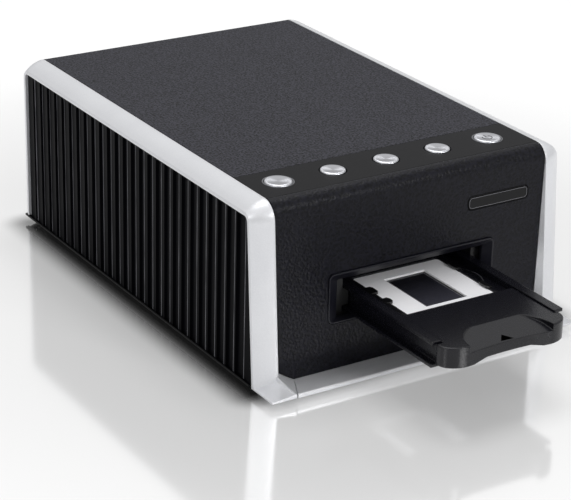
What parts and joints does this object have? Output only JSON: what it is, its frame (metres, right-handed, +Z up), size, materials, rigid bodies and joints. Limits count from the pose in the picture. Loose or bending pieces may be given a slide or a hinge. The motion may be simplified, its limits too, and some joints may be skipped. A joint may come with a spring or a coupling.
{
  "type": "film and slide scanner",
  "caption": "Desktop scanner for mounted film slides: black box in a silver surround, a row of round keys on top and a slide holder that runs through a slot in the front.",
  "frame": {"origin": "on the desk, in the middle of the footprint with the holder drawn out as pictured", "axes": "+Z up, -Y towards the front, where the holder comes out, +X to the right seen from the front"},
  "size_m": [0.1756, 0.3148, 0.0934],
  "materials": {
    "silver_paint": "satin silver paint on moulded plastic",
    "grained_black": "fine leather grain",
    "satin_black": "smooth satin",
    "ribbed_black": "moulded, semi-matt",
    "chassis_black": "moulded, matt",
    "foot_rubber": "matt",
    "spun_aluminium": "spun, bright",
    "plate_black": "smooth, bare",
    "holder_black": "satin",
    "slide_white": "smooth",
    "film_dark": "glossy film",
    "clip_black": "glossy",
    "spring_steel": "bright",
    "deck_grey": "matt",
    "board_green": "solder mask",
    "switch_black": "moulded",
    "port_steel": "tinned",
    "inlet_black": "moulded",
    "shaft_steel": "ground",
    "acetal_white": "moulded gear plastic",
    "motor_steel": "plated can",
    "pinion_brass": "machined",
    "lamp_black": "matt",
    "diffuser_white": "opal",
    "front_mirror": "front surfaced",
    "barrel_black": "black anodised",
    "lens_glass": "coated",
    "screw_steel": "zinc plated"
  },
  "bodies": {
    "housing": {"base_chassis": "chassis_black", "rubber_feet": "foot_rubber", "left_frame": "silver_paint", "right_frame": "silver_paint", "front_lip": "silver_paint", "left_side_panel": "ribbed_black", "right_side_panel": "ribbed_black", "top_cover": "grained_black", "button_strip": "satin_black", "button_rings": "spun_aluminium", "front_panel": "grained_black", "slot_bezel": "satin_black", "name_plate": "plate_black", "rear_panel": "grained_black", "usb_socket": "port_steel", "power_inlet": "inlet_black", "main_board": "board_green", "button_board": "board_green", "tact_switches": "switch_black", "scan_deck": "deck_grey", "left_guide": "deck_grey", "right_guide": "deck_grey", "shaft_bearings": "deck_grey", "drive_motor": "motor_steel", "motor_bracket": "port_steel", "lamp_housing": "lamp_black", "lamp_diffuser": "diffuser_white", "led_board": "board_green", "mirror_block": "lamp_black", "scan_mirror": "front_mirror", "lens_mount": "lamp_black", "lens_barrel": "barrel_black", "lens_glass": "lens_glass", "sensor_board": "board_green", "case_screws": "screw_steel", "guide_screws": "screw_steel"},
    "holder": {"holder_tray": "holder_black", "holder_grip": "holder_black", "holder_rack": "holder_black", "slide_mount": "slide_white", "film_frame": "film_dark", "slide_clips": "clip_black", "slide_springs": "spring_steel"},
    "feed_unit": {"feed_shaft": "shaft_steel", "feed_pinion": "acetal_white", "feed_gear": "acetal_white"},
    "motor_rotor": {"motor_pinion": "pinion_brass"},
    "key_1": {"button_1": "spun_aluminium"},
    "key_2": {"button_2": "spun_aluminium"},
    "key_3": {"button_3": "spun_aluminium"},
    "key_4": {"button_4": "spun_aluminium"},
    "key_5": {"button_5": "spun_aluminium"}
  },
  "joints": [
    {"name": "holder_slide", "type": "slide", "parent": "housing", "child": "holder", "axis": [0, -1, 0], "range_m": [-0.06, 0.1]},
    {"name": "feed_spin", "type": "hinge", "parent": "housing", "child": "feed_unit", "pos_m": [0.0315, -0.02805, 0.0226], "axis": [1, 0, 0], "range_deg": [-500, 830]},
    {"name": "motor_spin", "type": "hinge", "parent": "housing", "child": "motor_rotor", "pos_m": [0.05, -0.00875, 0.0226], "axis": [1, 0, 0], "range_deg": [-2470, 1490]},
    {"name": "key_1_press", "type": "slide", "parent": "housing", "child": "key_1", "axis": [0, 0, -1], "range_m": [0, 0.001], "stiffness_N_per_m": 300, "springref_m": -0.0005},
    {"name": "key_2_press", "type": "slide", "parent": "housing", "child": "key_2", "axis": [0, 0, -1], "range_m": [0, 0.001], "stiffness_N_per_m": 300, "springref_m": -0.0005},
    {"name": "key_3_press", "type": "slide", "parent": "housing", "child": "key_3", "axis": [0, 0, -1], "range_m": [0, 0.001], "stiffness_N_per_m": 300, "springref_m": -0.0005},
    {"name": "key_4_press", "type": "slide", "parent": "housing", "child": "key_4", "axis": [0, 0, -1], "range_m": [0, 0.001], "stiffness_N_per_m": 300, "springref_m": -0.0005},
    {"name": "key_5_press", "type": "slide", "parent": "housing", "child": "key_5", "axis": [0, 0, -1], "range_m": [0, 0.001], "stiffness_N_per_m": 300, "springref_m": -0.0005}
  ],
  "couplings": [
    {"joint": "feed_spin", "follows": "holder_slide", "rad_per_m": 142.86},
    {"joint": "motor_spin", "follows": "holder_slide", "rad_per_m": -428.57}
  ]
}
